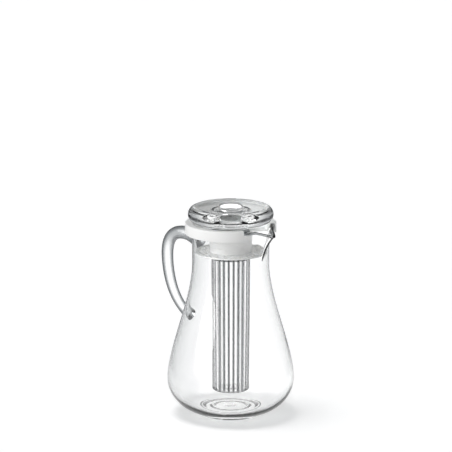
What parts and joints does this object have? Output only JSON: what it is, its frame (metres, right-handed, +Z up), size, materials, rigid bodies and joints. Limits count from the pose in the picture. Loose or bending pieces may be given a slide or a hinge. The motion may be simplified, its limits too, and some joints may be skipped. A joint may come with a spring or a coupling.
{
  "type": "pitcher with ice core",
  "caption": "Clear glass pitcher with a loop handle and a pulled spout, a white pouring lid with a strainer, a fluted tube for ice and a clear screw stopper.",
  "frame": {"origin": "centre of the jug's foot, on the surface it stands on", "axes": "+Z up along the jug's axis, +X towards the spout, the handle towards -X"},
  "size_m": [0.1797, 0.154, 0.2572],
  "materials": {
    "jug_glass": "clear blown glass",
    "handle_glass": "clear drawn glass rod",
    "lid_plastic": "satin moulded white",
    "core_plastic": "clear moulded plastic",
    "stopper_acrylic": "clear polished acrylic",
    "seal_silicone": "translucent matt silicone"
  },
  "bodies": {
    "jug": {"jug_body": "jug_glass", "jug_handle": "handle_glass"},
    "core_ring": {"core_seal": "seal_silicone"},
    "core": {"core_tube": "core_plastic"},
    "lid": {"lid_cover": "lid_plastic", "strainer": "lid_plastic"},
    "stopper_ring": {"stopper_seal": "seal_silicone"},
    "stopper": {"stopper_knob": "stopper_acrylic", "stopper_plug": "stopper_acrylic"}
  },
  "joints": [
    {"name": "insert_lift", "type": "slide", "parent": "jug", "child": "core_ring", "axis": [0, 0, 1], "range_m": [0, 0.1193]},
    {"name": "core_turn", "type": "hinge", "parent": "core_ring", "child": "core", "pos_m": [0, 0, 0.1983], "axis": [0, 0, 1], "range_deg": [-360, 0]},
    {"name": "lid_lift", "type": "slide", "parent": "core_ring", "child": "lid", "axis": [0, 0, 1], "range_m": [0, 0.0337]},
    {"name": "stopper_lift", "type": "slide", "parent": "lid", "child": "stopper_ring", "axis": [0, 0, 1], "range_m": [0, 0.0645]},
    {"name": "stopper_turn", "type": "hinge", "parent": "stopper_ring", "child": "stopper", "pos_m": [0, 0, 0.2081], "axis": [0, 0, 1], "range_deg": [0, 720]}
  ]
}
